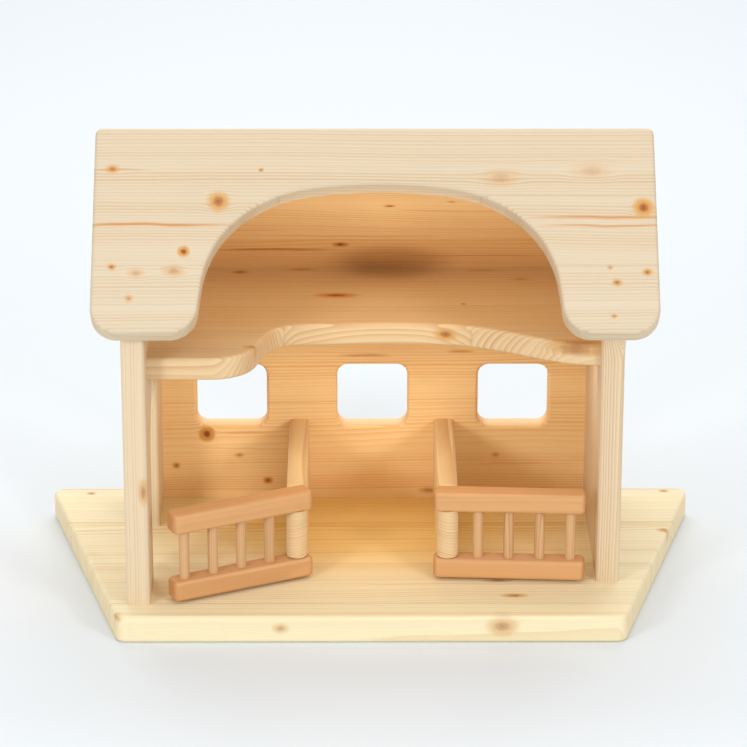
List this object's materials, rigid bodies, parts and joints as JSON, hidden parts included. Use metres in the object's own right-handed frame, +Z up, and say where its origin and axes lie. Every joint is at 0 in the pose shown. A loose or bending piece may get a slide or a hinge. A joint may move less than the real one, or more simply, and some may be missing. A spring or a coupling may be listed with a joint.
{
  "type": "toy barn with opening doors",
  "caption": "Open-fronted toy barn in solid wood: base, side walls, windowed back wall, loft, arched gable roof, stall dividers and swinging gates.",
  "frame": {"origin": "underside of the base, midway between the side walls and midway between the base's front and back edges", "axes": "+X to the right seen from the open front, +Y towards the back wall, +Z up"},
  "size_m": [0.5218, 0.2751, 0.3746],
  "materials": {
    "base_board": "oiled softwood",
    "back_board": "oiled softwood",
    "side_board": "oiled softwood",
    "roof_board": "oiled softwood",
    "loft_board": "oiled softwood",
    "divider_board": "oiled softwood",
    "gate_rail": "oiled hardwood",
    "gate_dowel": "oiled hardwood"
  },
  "bodies": {
    "barn": {"base_plate": "base_board", "back_wall": "back_board", "left_wall": "side_board", "right_wall": "side_board", "roof_front": "roof_board", "roof_rear": "roof_board", "loft_floor": "loft_board", "left_divider": "divider_board", "right_divider": "divider_board"},
    "left_gate": {"left_gate_top_rail": "gate_rail", "left_gate_bottom_rail": "gate_rail", "left_gate_pivot_pin": "gate_dowel", "left_gate_baluster_1": "gate_dowel", "left_gate_baluster_2": "gate_dowel", "left_gate_baluster_3": "gate_dowel", "left_gate_baluster_4": "gate_dowel"},
    "right_gate": {"right_gate_top_rail": "gate_rail", "right_gate_bottom_rail": "gate_rail", "right_gate_pivot_pin": "gate_dowel", "right_gate_baluster_1": "gate_dowel", "right_gate_baluster_2": "gate_dowel", "right_gate_baluster_3": "gate_dowel", "right_gate_baluster_4": "gate_dowel"}
  },
  "joints": [
    {"name": "left_gate_hinge", "type": "hinge", "parent": "barn", "child": "left_gate", "pos_m": [-0.0606, -0.05195, 0.06], "axis": [0, 0, 1], "range_deg": [-54, 84]},
    {"name": "right_gate_hinge", "type": "hinge", "parent": "barn", "child": "right_gate", "pos_m": [0.057, -0.05195, 0.06], "axis": [0, 0, 1], "range_deg": [-106.6, 31.4]}
  ]
}
